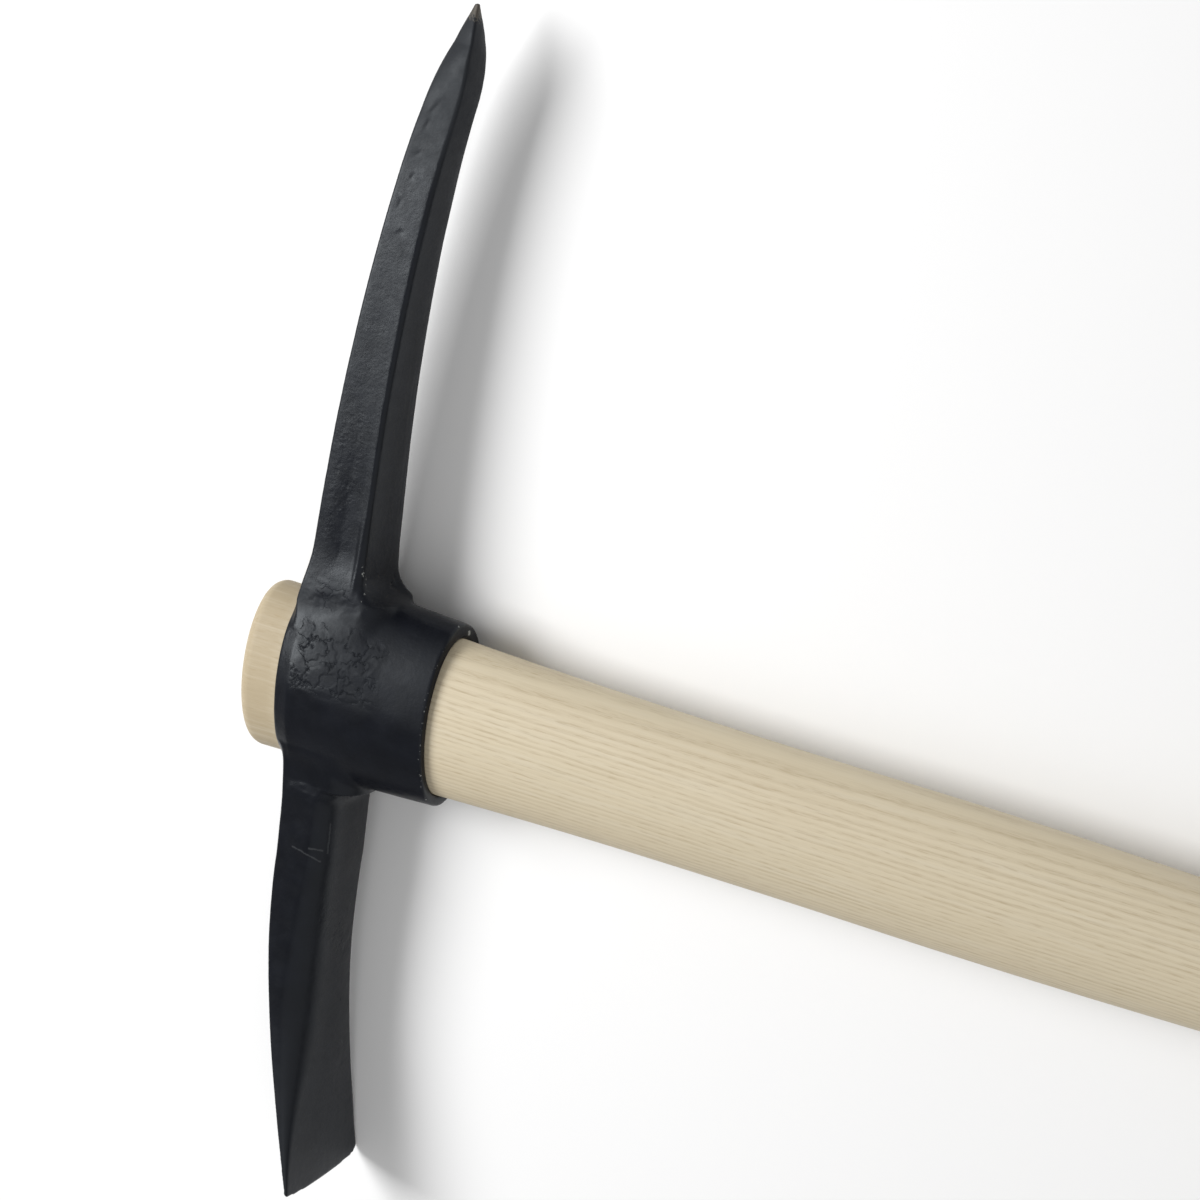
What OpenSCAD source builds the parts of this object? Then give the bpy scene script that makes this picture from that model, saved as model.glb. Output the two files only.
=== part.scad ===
// Pick axe: a forged steel head with a pick and a blade on a tapered ash handle.
// The handle lies along X with the grip at +X, the pick points to +Y, the blade to -Y.
// All sizes are in millimetres.

/* [Head] */
// Reach of the pick's point from the handle's centre line
pick_reach = 280; // [220:1:340]
// Distance by which the point curves back towards the grip
point_drop = 27.5; // [0:0.5:60]
// Reach of the cutting edge from the handle's centre line
blade_reach = 221; // [170:1:280]
// Distance by which the cutting edge curves back towards the grip
edge_drop = 18; // [12:0.5:40]
// Rounding of the long ridges on both arms
ridge_round = 1.5; // [0.5:0.25:4]

/* [Pick arm] */
// Depth of the pick arm at the eye, along the handle
pick_depth = 25.2; // [18:0.1:30]
// Width of the pick arm at the eye, across the handle
pick_width = 29; // [20:0.1:34]
// Set of the pick arm's root towards the grip
pick_set = 1; // [-2:0.5:4]
// Depth of the pick arm where the ground point begins
shoulder_depth = 16; // [10:0.1:18]
// Width of the pick arm where the ground point begins
shoulder_width = 15.6; // [10:0.1:18]
// Depth of the hollow in the pick arm's side faces, at the root
fuller = 0.9; // [0:0.1:2]
// Length of the ground point
point_length = 42; // [20:1:70]
// Lean of the ground point towards the crown side
point_lean = 3.5; // [0:0.5:8]
// Growth of the bevel on the point's crown-side ridges
point_bevel = 8; // [0:0.5:12]
// Width of the blunt end of the point
point_flat = 2.4; // [1:0.2:6]

/* [Blade arm] */
// Depth of the blade arm at its neck, along the handle
blade_depth = 22.8; // [16:0.1:28]
// Width of the blade arm at its neck, across the handle
blade_width = 33.6; // [24:0.1:40]
// Distance from the handle's centre line to the neck, where the blade begins to spread
blade_neck = 75; // [60:1:100]
// Width of the cutting edge
edge_width = 55.5; // [52:0.5:80]
// Thickness left at the cutting edge
edge_thickness = 1.2; // [0.6:0.1:3]
// Hollow of the blade's grip-side face
blade_hollow = 3.9; // [0:0.1:6]
// Bow of the cutting edge, from its middle back to its ends
edge_bow = 2; // [0:0.25:5]
// Rounding of the two ends of the cutting edge
edge_round = 2.5; // [0.5:0.5:6]

/* [Eye] */
// Length of the eye along the handle
eye_length = 69.5; // [56:0.5:90]
// Distance from the arms' centre line to the eye's crown face
eye_front = 16; // [14:0.5:24]
// Long width of the opening at the crown face
eye_major = 71; // [64:0.5:80]
// Short width of the opening at the crown face
eye_minor = 43; // [40:0.5:46]
// Loss of width of the opening from the crown face to the grip face
eye_taper = 4; // [2:0.25:6]
// Wall at the ends of the oval, at the crown face
crown_wall = 6.5; // [5:0.1:9]
// Wall at the ends of the oval, at the grip face
eye_wall = 5.2; // [4:0.1:9]
// Set of the eye's outside towards the pick
eye_set = 0.8; // [0:0.1:2]
// Wall of the eye's cheeks at the grip face
cheek_wall = 5.8; // [4:0.1:9]
// Rounding of the eye's grip-side lip
lip_round = 2; // [1:0.25:3.5]
// Width of the bevel round the eye's crown face
bevel = 3; // [1:0.25:5]
// Radius of the corner between an arm's grip side and the eye
corner_round = 9.5; // [4:0.5:14]
// Radius of the corner between an arm's crown side and the eye
brow_round = 3.5; // [1:0.5:4]

/* [Handle] */
// Length of the whole handle
handle_length = 950; // [800:5:1100]
// Length of handle that stands out beyond the eye's crown face
crown = 19.5; // [8:0.5:40]
// Rounding of the crown end
crown_round = 6; // [1:0.5:7]
// Distance from the eye's grip face to the waist of the handle
waist_distance = 195; // [120:5:280]
// Long width of the handle at its waist
waist_major = 59; // [46:0.5:64]
// Short width of the handle at its waist
waist_minor = 37.5; // [34:0.5:40]
// Slope of the handle's flanks where it leaves the eye
neck_slope = 0.048; // [0:0.002:0.08]
// Diameter of the round grip
grip_diameter = 38; // [32:0.5:40]
// Length of the round grip
grip_length = 265; // [150:5:350]
// Rounding of the butt end
butt_round = 6; // [2:0.5:12]

/* [Fit] */
// Play all round between the handle and the eye
fit_gap = 0.3; // [0.15:0.05:0.6]

/* [Hidden] */

steel = [0.16, 0.17, 0.18];
ash = [0.86, 0.78, 0.64];

// Points on a rounded ridge, across a flat face, on an oval, and the fineness of the turned grip
ridge_steps = 4;
face_steps = 4;
oval_steps = 72;
turned_steps = 96;
// Places across a side face, from its middle, and the share of the hollow's depth at each
side_marks = [[-0.42, 0], [-0.3, 1], [0, 1], [0.3, 1], [0.42, 0]];
// Rings in each stretch of an arm, in a rounded lip, and in each stretch of the handle
corner_rings = 8;
arm_rings = 18;
point_rings = 8;
lip_rings = 5;
wall_rings = 8;
shaft_rings = 12;
// Curves of the forms: the pick's bend, the closing of its point in depth and in width,
// the blade's thinning and spreading, and the bow of its edge
bend_curve = 2.75;
point_depth_curve = 2;
point_width_curve = 3.5;
thin_curve = 2;
thin_power = 1.55;
spread_curve = 1.4;
bow_curve = 4;
// Shares of an arm's depth and half width that a rounded ridge may take
depth_share = 0.35;
width_share = 0.9;
// Share of a corner's rise that softens the ridge beside it, and share of the side that a hollow starts with
soft_share = 0.7;
hollow_share = 0.5;
// Start of the arms inside the eye, as a share of its opening, and slope of their sides there
root_share = 0.8;
root_slope = -0.2;
// Slope of the bevel round the crown face
bevel_slope = 0.6;
// Overlap that lets two solids of one piece run into each other
bury = 1;
// Distance that a cutter runs past the face it opens
overrun = 5;
// Step that keeps the last facets of the shaft inside the turned grip
seam = 0.1;

// The eye along X, with the arms' centre line at X = 0
front_x = -eye_front;
back_x = eye_length - eye_front;
back_half_major = (eye_major - eye_taper) / 2;
back_half_minor = (eye_minor - eye_taper) / 2;
taper_slope = eye_taper / 2 / eye_length;
cheek = back_half_minor + cheek_wall;
eye_side = eye_half(0);

// The arms along Y: where they start inside the eye's wall, and where their corners run out
root_y = back_half_major * root_share;
root_half = cheek * sqrt(1 - pow(root_y / eye_side, 2)) - bury / 2;
flare_y = eye_side + corner_round * 2;
corner_y = eye_side + corner_round;
brow_y = eye_side + brow_round;
shoulder_y = pick_reach - point_length;
pick_bend = point_drop + point_lean - pick_set;

// The handle along X
crown_x = front_x - crown;
butt_x = crown_x + handle_length;
waist_x = back_x + waist_distance;
grip_x = butt_x - grip_length;
grip_radius = min(grip_diameter / 2, back_half_minor - fit_gap);
waist_half_major = min(waist_major / 2, back_half_major - fit_gap);
waist_half_minor = min(waist_minor / 2, back_half_minor - fit_gap);

// Height of the centre line above the ground, and the middle of the whole outline
rest_z = max(edge_width / 2, cheek);
middle_x = (crown_x + butt_x) / 2;
middle_y = (pick_reach - blade_reach) / 2;

// Value between two ends
function mix(a, b, t) = a + (b - a) * t;

// Smooth step from 0 to 1 between two places
function ease(from, to, at) =
    let (t = max(0, min(1, (at - from) / (to - from))))
    t * t * (3 - 2 * t);

// Smooth curve that leaves a with slope ma and meets b level
function run(a, ma, b, from, to, at) =
    let (t = (at - from) / (to - from))
    mix(a, b, ease(0, 1, t)) + ma * (to - from) * t * pow(1 - t, 2);

// Evenly spaced places after one end up to the other
function onward(from, to, count) = [for (i = [1 : count]) mix(from, to, i / count)];

// Distance lost to a rounding of radius r that ends a given way ahead
function rounding(r, ahead) = r - sqrt(pow(r, 2) - pow(max(0, min(r, r - ahead)), 2));

// Half widths of the eye's opening at a place x
function half_major(x) = back_half_major + (back_x - x) * taper_slope;
function half_minor(x) = back_half_minor + (back_x - x) * taper_slope;

// Half of the eye's outside at a place x, along the arms
function eye_half(x) = half_major(x) + mix(crown_wall, eye_wall, (x - front_x) / eye_length);

// Oval ring across the handle at a place x
function oval_ring(x, major, minor, set = 0) = [
    for (i = [0 : oval_steps - 1])
        let (a = 360 * i / oval_steps)
        [x, major * cos(a) + set, minor * sin(a)]
];

// Quarter circle of points round a corner, from a given direction
function corner(x, z, r, from) = [
    for (i = [0 : ridge_steps])
        let (a = from + 90 * i / ridge_steps)
        [x + r * cos(a), z + r * sin(a)]
];

// Points across a flat face between two rounded ridges
function face(x, z) = [for (t = onward(-1, 1, face_steps)) if (t < 1) [x, z * t]];

// Points along a side face between two rounded ridges, with a shallow hollow of a given width
function side(from, to, half, dip, share) = [
    for (mark = side_marks)
        [mix(from, to, 0.5 + mark[0] * share), half - sign(half) * dip * mark[1]]
];

// Ring across an arm at a place y, from its crown side to its grip side, its edges held back by a bow
function arm_ring(y, low, high, half, low_round, high_round, bow, dip, share) =
    let (most = min((high - low) * depth_share, half * width_share))
    let (a = min(high_round, most))
    let (b = min(low_round, most))
    let (outline = concat(
        corner(high - a, half - a, a, 0),
        side(high - a, low + b, half, dip, share),
        corner(low + b, half - b, b, 90),
        face(low, b - half),
        corner(low + b, b - half, b, 180),
        side(low + b, high - a, -half, dip, share),
        corner(high - a, a - half, a, 270),
        face(high, half - a)
    ))
    [for (p = outline) [p[0], y - bow * pow(p[1] / half, 2), -p[1]]];

// Ring of an arm with rounded corners where it grows out of the eye
function rooted_ring(y, low, high, half, low_round, bow, dip) =
    let (rise = rounding(corner_round, y - eye_side))
    let (brow = rounding(brow_round, y - eye_side))
    let (deep = max(low - brow, front_x + bury))
    let (wide = y < flare_y ? run(root_half, root_slope, half, root_y, flare_y, y) : half)
    let (share = mix(hollow_share, 1, ease(eye_side, flare_y, y)))
    let (soft = ridge_round + rise * soft_share)
    arm_ring(y, deep, high + rise, wide, low_round + brow, soft, bow, dip, share);

// Pick arm: a curved bar that tapers to a ground four-sided point
function pick_ring(y) =
    let (t = min(1, (y - eye_side) / (shoulder_y - eye_side)))
    let (s = max(0, (y - shoulder_y) / point_length))
    let (centre = pick_set + pick_bend * pow(y / pick_reach, bend_curve) - point_lean * pow(s, 2))
    let (depth = max(point_flat, mix(pick_depth, shoulder_depth, t) * (1 - pow(s, point_depth_curve))))
    let (width = max(point_flat, mix(pick_width, shoulder_width, t) * (1 - pow(s, point_width_curve))))
    let (dip = fuller * ease(brow_y, corner_y, y) * (1 - ease(corner_y, shoulder_y, y)))
    rooted_ring(y, centre - depth / 2, centre + depth / 2, width / 2, ridge_round + point_bevel * s, 0, dip);

// Blade arm: a bar that spreads and thins to the cutting edge
function blade_ring(y) =
    let (s = max(0, (y - blade_neck) / (blade_reach - blade_neck)))
    let (spread = max(0, (y - blade_neck) / (blade_reach - edge_round - blade_neck)))
    let (full = pow(1 - pow(s, thin_curve), thin_power))
    let (depth = mix(edge_thickness, blade_depth, full))
    let (width = mix(blade_width, edge_width, ease(0, 1, pow(spread, spread_curve))))
    let (hollow = 4 * blade_hollow * s * (1 - s))
    let (high = mix(blade_depth / 2, edge_drop + edge_thickness / 2, s) - hollow)
    let (nip = rounding(edge_round, blade_reach - y))
    rooted_ring(y, high - depth, high, width / 2 - nip, ridge_round, edge_bow * pow(s, bow_curve), 0);

// Outer ring of the eye at a place x, with the bevel and the lip taken off
function eye_ring(x) =
    let (cut = bevel_slope * max(0, bevel - (x - front_x)) + rounding(lip_round, back_x - x))
    oval_ring(x, eye_half(x) - cut, cheek - cut, eye_set);

// Half width of the handle at a place x, through its eye fit, its waist and its grip
function shaft_half(x, fit, slope, waist) =
    x <= back_x ? fit - fit_gap
    : x < waist_x ? run(fit - fit_gap, -slope, waist, back_x, waist_x, x)
    : run(waist, 0, grip_radius - seam, waist_x, grip_x, min(x, grip_x));

// Ring of the handle at a place x
function shaft_ring(x) =
    let (at = min(x, back_x))
    let (cut = rounding(crown_round, x - crown_x))
    let (major = shaft_half(x, half_major(at), neck_slope, waist_half_major))
    let (minor = shaft_half(x, half_minor(at), 0, waist_half_minor))
    oval_ring(x, major - cut, minor - cut);

// Places of the rings along each form
root_places = concat(
    [root_y],
    onward(root_y, eye_side, 2),
    onward(eye_side, brow_y, corner_rings / 2),
    onward(brow_y, corner_y, corner_rings)
);
pick_places = concat(
    root_places,
    onward(corner_y, shoulder_y, arm_rings),
    onward(shoulder_y, pick_reach, point_rings)
);
blade_places = concat(
    root_places,
    onward(corner_y, blade_reach - edge_round, arm_rings),
    [for (a = onward(0, 90, lip_rings)) blade_reach - edge_round * (1 - sin(a))]
);
eye_places = concat(
    [front_x, front_x + bevel],
    onward(front_x + bevel, back_x - lip_round, wall_rings),
    [for (a = onward(0, 90, lip_rings)) back_x - lip_round * (1 - sin(a))]
);
shaft_places = concat(
    [crown_x],
    [for (a = onward(0, 90, lip_rings)) crown_x + crown_round * (1 - cos(a))],
    onward(crown_x + crown_round, back_x, lip_rings),
    onward(back_x, waist_x, shaft_rings),
    onward(waist_x, grip_x, shaft_rings),
    [grip_x + bury]
);

// Middle of a ring's points
function middle(ring) = [for (p = ring) 1] * ring / len(ring);

// Skin over a row of rings that all have the same number of points
module loft(rings) {
    per = len(rings[0]);
    last = len(rings) - 1;
    hub = len(rings) * per;
    points = concat([for (ring = rings) each ring], [middle(rings[0]), middle(rings[last])]);
    near_cap = [for (j = [0 : per - 1]) [hub, j, (j + 1) % per]];
    far_cap = [for (j = [0 : per - 1]) [hub + 1, last * per + (j + 1) % per, last * per + j]];
    sides = [
        for (i = [0 : last - 1])
            for (j = [0 : per - 1])
                let (a = i * per + j)
                let (b = i * per + (j + 1) % per)
                each [[a, a + per, b + per], [a, b + per, b]]
    ];
    polyhedron(points, concat(near_cap, sides, far_cap));
}

// Sets the object down on the ground with the middle of its outline at the origin
module set_down() {
    translate([-middle_x, -middle_y, rest_z])
        children();
}

// Tapered oval opening that the handle is dropped through
module eye_opening() {
    near = front_x - overrun;
    far = back_x + overrun;
    loft([for (x = [near, far]) oval_ring(x, half_major(x), half_minor(x))]);
}

// Head: eye, pick arm and blade arm forged in one piece
module pick_head() {
    color(steel)
        set_down()
            difference() {
                union() {
                    loft([for (x = eye_places) eye_ring(x)]);
                    loft([for (y = pick_places) pick_ring(y)]);
                    mirror([0, 1, 0])
                        loft([for (y = blade_places) blade_ring(y)]);
                }
                eye_opening();
            }
}

// Turned grip with a rounded butt, standing on its inner end
module grip() {
    rotate_extrude($fn = turned_steps) {
        square([grip_radius, grip_length - butt_round]);
        square([grip_radius - butt_round, grip_length]);
        translate([grip_radius - butt_round, grip_length - butt_round])
            circle(butt_round, $fn = turned_steps);
    }
}

// Handle: oval in the eye, easing through its waist into the round grip
module handle() {
    color(ash)
        set_down()
            union() {
                loft([for (x = shaft_places) shaft_ring(x)]);
                translate([grip_x, 0, 0])
                    rotate([0, 90, 0])
                        grip();
            }
}

pick_head();
handle();
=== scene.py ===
import itertools
import math
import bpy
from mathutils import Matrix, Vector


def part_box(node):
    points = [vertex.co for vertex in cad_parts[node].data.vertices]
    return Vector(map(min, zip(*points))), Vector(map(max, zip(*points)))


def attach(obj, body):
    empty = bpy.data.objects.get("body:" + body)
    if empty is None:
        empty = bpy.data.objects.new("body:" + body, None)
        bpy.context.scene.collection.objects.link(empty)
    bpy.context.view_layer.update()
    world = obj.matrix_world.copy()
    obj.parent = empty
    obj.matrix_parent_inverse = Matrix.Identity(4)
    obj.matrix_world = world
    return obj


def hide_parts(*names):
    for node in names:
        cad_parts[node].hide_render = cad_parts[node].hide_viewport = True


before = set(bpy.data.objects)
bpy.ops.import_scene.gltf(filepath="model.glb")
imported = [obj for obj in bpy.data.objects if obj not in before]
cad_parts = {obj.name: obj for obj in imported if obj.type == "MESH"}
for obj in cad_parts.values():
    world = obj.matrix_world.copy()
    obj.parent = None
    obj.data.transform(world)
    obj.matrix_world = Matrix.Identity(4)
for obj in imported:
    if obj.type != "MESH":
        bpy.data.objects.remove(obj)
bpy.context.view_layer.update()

from types import SimpleNamespace

import bpy
import numpy as np
from bpy.props import FloatProperty, FloatVectorProperty, IntProperty, PointerProperty
from mathutils import Matrix, Quaternion, Vector

bl_info = {
    "name": "Pick Axe",
    "version": (1, 0, 0),
    "blender": (4, 5, 0),
    "location": "3D View > Sidebar > Pick Axe",
    "description": "Dresses the solids of a pick axe with a forged head and an ash handle",
    "category": "Object",
}

HEAD_LOW, HEAD_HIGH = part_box("pick_head")
SHAFT_LOW, SHAFT_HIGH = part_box("handle")
MM = 0.001

# Millimetres from the eye's centre: X along the handle to the grip, Y along the arms to the point
EYE_FRONT = 16.0
ORIGIN = Vector((
    HEAD_LOW.x + EYE_FRONT * MM,
    (SHAFT_LOW.y + SHAFT_HIGH.y) / 2,
    (SHAFT_LOW.z + SHAFT_HIGH.z) / 2,
))

# Eye
EYE_MAJOR, EYE_MINOR, EYE_TAPER = 71.0, 43.0, 4.0
CROWN_WALL, EYE_WALL, CHEEK_WALL, EYE_SET = 6.5, 5.2, 5.8, 0.8
BAND, BAND_SLOPE, BAND_FADE = 7.0, 0.28, (29.0, 43.0)
LIP_ROUND, FACE_ROUND, HOLE_ROUND = 0.9, 0.9, 0.5
BARREL, BARREL_START = 5.5, 6.0
PICK_FALL, BLADE_FALL, FALL_SPAN = 1.4, 3.4, (22.0, 42.0)
FIT_GAP = 0.3
# Roots of both arms
CORNER_ROUND, PICK_BROW, BLADE_BROW, BROW_SPAN = 9.5, 2.6, 0.8, (-8.0, 18.0)
ROOT_SHARE, ROOT_SLOPE, ROOT_INSET = 0.8, -0.2, 0.5
ROOT_SET, ROOT_RUN, ROOT_SEAM, ROOT_END = 3.7, 10.0, 3.6, 0.1
# Swell of the arms' grip sides, as a share of their half width and at most of their depth
FACE_SWELL, MOST_SWELL = 0.075, 0.16
# Largest rounding of the arms' ridges as a share of their section, and its growth at the roots
GRIP_SHARE, CROWN_SHARE, ROOT_GROWTH = 0.8, 0.19, 0.7
# Pick arm
PICK_SET, POINT_DROP, POINT_LEAN = 1.0, 27.5, 3.5
SHOULDER_DEPTH, SHOULDER_WIDTH, POINT_LENGTH, POINT_FLAT = 16.0, 15.6, 42.0, 2.6
BEND_CURVE, POINT_DEPTH_CURVE, POINT_WIDTH_CURVE = 2.75, 2.0, 3.1
FACET_START, FACET_GROWTH, FACET_TILT, FACET_ROUND = 232.0, 0.30, math.radians(20), 1.6
GRIP_RIDGE, POINT_RIDGE, RIDGE_SPAN, TIP_ROUND = 2.0, 1.1, (190.0, 265.0), 1.2
# Panel in each side of the pick arm, and the bead on the ridge beside it
PANEL_LIFT, PANEL_HALF, PANEL_ROUND, PANEL_END = 2.0, 8.4, 6.5, 46.5
PANEL_RAMP, PANEL_DEEP, PANEL_FADE, PANEL_SHALLOW = 45.0, 62.0, (120.0, 215.0), 0.25
PANEL_STEEP, PANEL_TURN, PANEL_RIM = 4.0, 5.0, 1.2
BEAD, BEAD_SET, BEAD_WIDTH, BEAD_SPAN = 0.55, 3.0, 1.25, (42.0, 48.0, 56.0, 84.0)
# Blade arm
BLADE_NECK, EDGE_DROP, EDGE_THICKNESS, BLADE_HOLLOW, EDGE_BOW = 75.0, 18.0, 1.2, 3.9, 2.0
NEAR_CORNER, FAR_CORNER, EDGE_ROUND = 1.2, 4.5, 0.3
ROOT_RIDGE, NEAR_RIDGE, FAR_RIDGE, SOFT_SPAN = 9.0, 13.0, 2.2, (55.0, 140.0)
THIN_CURVE, THIN_POWER, SPREAD_CURVE = 2.0, 1.55, 1.4
# Shares of the way out from the eye's axis between which its outside begins
OUTSIDE = (0.90, 0.94)
# Places along the pick between which the ground point begins
GROUND = (205.0, 240.0)
# Folds at the pick's root: their lean, and the line that they follow
FOLD_LEAN, FOLD_LINE = 0.11, 40.0
# Dents below the point: X, Y, length, turn and depth
DENTS = (
    (18.6, 239.0, 3.6, 0.9, 0.26), (16.6, 233.0, 2.6, 1.2, 0.22), (14.2, 221.0, 2.2, 0.6, 0.16),
    (13.0, 212.0, 1.4, 1.0, 0.16), (9.0, 201.0, 2.0, 1.2, 0.16), (11.0, 190.0, 1.6, 0.4, 0.14),
)
DENT_WIDTH = 0.9
# Pinch and bulge in the corner beside the eye: place, width and height
CORNER_MARKS = (((16.0, 44.8, -7.0), 1.9, -0.9), ((17.5, 43.0, -11.0), 2.4, 0.7))
# Paths of the scratches on the blade's near side
SCRATCHES = (
    ((-3.6, -68.7, 16.7), (1.0, -69.5, 16.7), (5.3, -70.6, 16.3), (7.1, -71.4, 15.5), (8.8, -72.4, 14.3)),
    ((4.1, -67.3, 16.6), (6.8, -67.2, 15.6), (9.2, -67.5, 14.0)),
    ((10.7, -55.7, 12.4), (10.7, -68.6, 12.3)),
)
# Stage: places and aims in millimetres, sizes in metres
CAMERA_PLACE, CAMERA_AIM = (585.2, 421.9, 990.3), (111.53, 65.59, 0.0)
CAMERA_ROLL = math.radians(-115.018)
KEY_PLACE, KEY_AIM, KEY_SIZE = (-850.0, 320.0, 1040.0), (10.0, 80.0, 0.0), 0.78
FILL_PLACE, FILL_AIM, FILL_SIZE = (1000.0, -350.0, 1250.0), (150.0, 0.0, 0.0), 2.3
FLOOR_REACH = 9.0
# Handle: fall of its long width behind the eye, crowding of its rings towards the ends, and
# millimetres past the eye's crown face between which its end grows darker
NECK_FALL, END_CROWDING, CROWN_DARKENING = 0.048, 0.965, (-4.0, 6.0)
# Size of the broken scale in metres, which the surface and its finish share
PLATE_SIZE = 0.0088
# Metres by which its cracks wander
CRACK_WANDER = 0.009
# Factors that scatter the noise from cell to cell
SCATTER, SEED_SCATTER, STIR = np.array([374761393, 668265263, 1440662683]), 974634777, 1274126177


def mix(a, b, t):
    """Value at a share of the way from a to b."""
    return a + (b - a) * t


def ease(start, end, at):
    """Smooth step from 0 to 1 between two places."""
    t = np.clip((at - start) / (end - start), 0.0, 1.0)
    return t * t * (3.0 - 2.0 * t)


def span(at, start, full, fade, end):
    """Share that rises between the first two places and falls between the last two."""
    return ease(start, full, at) * (1 - ease(fade, end, at))


def hump(at, middle, width):
    """Bell of height 1 round a place."""
    return np.exp(-(((at - middle) / width) ** 2))


def rounding(radius, ahead):
    """Distance lost to a rounding that ends a given way ahead."""
    return radius - np.sqrt(radius**2 - np.clip(radius - ahead, 0.0, radius) ** 2)


def join(a, b, soft):
    """Union of two signed distances with a soft seam."""
    h = np.clip(0.5 + 0.5 * (b - a) / soft, 0.0, 1.0)
    return mix(b, a, h) - soft * h * (1.0 - h)


def meet(a, b, soft):
    """Intersection of two signed distances with a soft edge."""
    return -join(-a, -b, soft)


def corner(a, b, radius):
    """Distance to a rounded corner, from the distances to its two sides."""
    a, b = a + radius, b + radius
    return np.hypot(np.maximum(a, 0), np.maximum(b, 0)) + np.minimum(np.maximum(a, b), 0) - radius


def lattice_noise(points, size, seed):
    """Smooth repeatable noise from -1 to 1 with patches of a given size."""
    points = points / np.array(size)
    cell = np.floor(points).astype(np.int64)
    part = points - cell
    part = part * part * (3.0 - 2.0 * part)
    total = np.zeros(len(points))
    for ahead in map(np.array, itertools.product((0, 1), repeat=3)):
        n = ((cell + ahead) * SCATTER).sum(axis=1) + seed * SEED_SCATTER
        n = ((n ^ (n >> 13)) * STIR) & 0xFFFFFFFF
        value = ((n ^ (n >> 16)) & 0xFFFF) / 32767.5 - 1.0
        total += value * np.prod(np.where(ahead == 1, part, 1.0 - part), axis=1)
    return total


# Head


def head_measures(sizes):
    """The head's sizes in millimetres, with what follows from them."""
    m = SimpleNamespace()
    m.front = -EYE_FRONT
    m.back = m.front + sizes.eye_length / MM
    m.length = m.back - m.front
    m.pick_reach, m.blade_reach = sizes.pick_reach / MM, sizes.blade_reach / MM
    m.pick_depth, m.pick_width = sizes.pick_depth / MM, sizes.pick_width / MM
    m.blade_depth, m.blade_width = sizes.blade_depth / MM, sizes.blade_width / MM
    m.edge_width, m.ridge = sizes.edge_width / MM, sizes.ridge_round / MM
    m.panel = sizes.panel_depth / MM
    m.back_major, m.back_minor = (EYE_MAJOR - EYE_TAPER) / 2, (EYE_MINOR - EYE_TAPER) / 2
    m.taper = EYE_TAPER / 2 / m.length
    m.cheek = m.back_minor + CHEEK_WALL
    m.side = eye_half(m, 0.0)
    m.root = m.back_major * ROOT_SHARE
    m.root_half = m.cheek * math.sqrt(1 - (m.root / m.side) ** 2) - ROOT_INSET
    m.flare = m.side + CORNER_ROUND * 2
    m.shoulder = m.pick_reach - POINT_LENGTH
    return m


def opening(m, x):
    """Half widths of the eye's opening."""
    more = (m.back - x) * m.taper
    return m.back_major + more, m.back_minor + more


def eye_half(m, x):
    """Half width of the eye's outside towards the arms."""
    return opening(m, x)[0] + mix(CROWN_WALL, EYE_WALL, (x - m.front) / m.length)


def cheek_half(m, x):
    """Half width across the cheeks, which barrel in towards the grip."""
    return m.cheek - BARREL * (np.maximum(0.0, x - BARREL_START) / m.length) ** 2


def crown_face(m, y):
    """Place of the eye's crown face, which falls back towards the arms."""
    return m.front + np.where(y < 0, BLADE_FALL, PICK_FALL) * ease(*FALL_SPAN, np.abs(y))


def outer_share(m, p):
    """Distance from the eye's axis as a share of the way to the eye's outside."""
    x, y, z = p.T
    return np.hypot((y - EYE_SET) / eye_half(m, x), z / cheek_half(m, x))


def oval(y, z, a, b):
    """Near distance to an oval with half widths a and b."""
    k = np.hypot(y / a, z / b)
    return k * (k - 1.0) / np.maximum(np.hypot(y / a**2, z / b**2), 1e-6)


def rooted(m, y, low, high, half, brow):
    """An arm's sides, flared where it grows out of the eye."""
    rise = rounding(CORNER_ROUND, y - m.side)
    brow = brow * (1 - ease(*BROW_SPAN, y - m.side))
    run = m.flare - m.root
    t = np.clip((y - m.root) / run, 0.0, 1.0)
    flared = mix(m.root_half, half, t * t * (3 - 2 * t)) + ROOT_SLOPE * run * t * (1 - t) ** 2
    wide = np.where(y < m.flare, flared, half)
    front = m.front + mix(ROOT_SET, ROOT_SET / 2, ease(m.root, m.root + ROOT_RUN, y))
    return np.maximum(low - brow, front), high + rise, wide, rise


def bar(x, z, low, high, half, low_round, high_round):
    """Near distance to a bar with rounded ridges, the high ones up to four fifths of its depth."""
    most = np.minimum(high - low, half)
    up, down = np.minimum(high_round, most * GRIP_SHARE), np.minimum(low_round, most * CROWN_SHARE)
    above = x - low - down > high - up - x
    return corner(np.where(above, x - high, low - x), np.abs(z) - half, np.where(above, up, down))


def swelled(high, half, depth, z):
    """Height of an arm's grip side, which swells a little between its ridges."""
    swell = np.minimum(FACE_SWELL * half, MOST_SWELL * depth)
    return high + swell * (1 - np.minimum(np.abs(z) / half, 1.0) ** 2)


def pick_line(m, y):
    """Centre of the pick arm along X, and the share of the ground point that is passed."""
    p = np.clip((y - m.shoulder) / POINT_LENGTH, 0.0, 1.0)
    bend = POINT_DROP + POINT_LEAN - PICK_SET
    return PICK_SET + bend * (np.maximum(y, 0) / m.pick_reach) ** BEND_CURVE - POINT_LEAN * p**2, p


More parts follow.
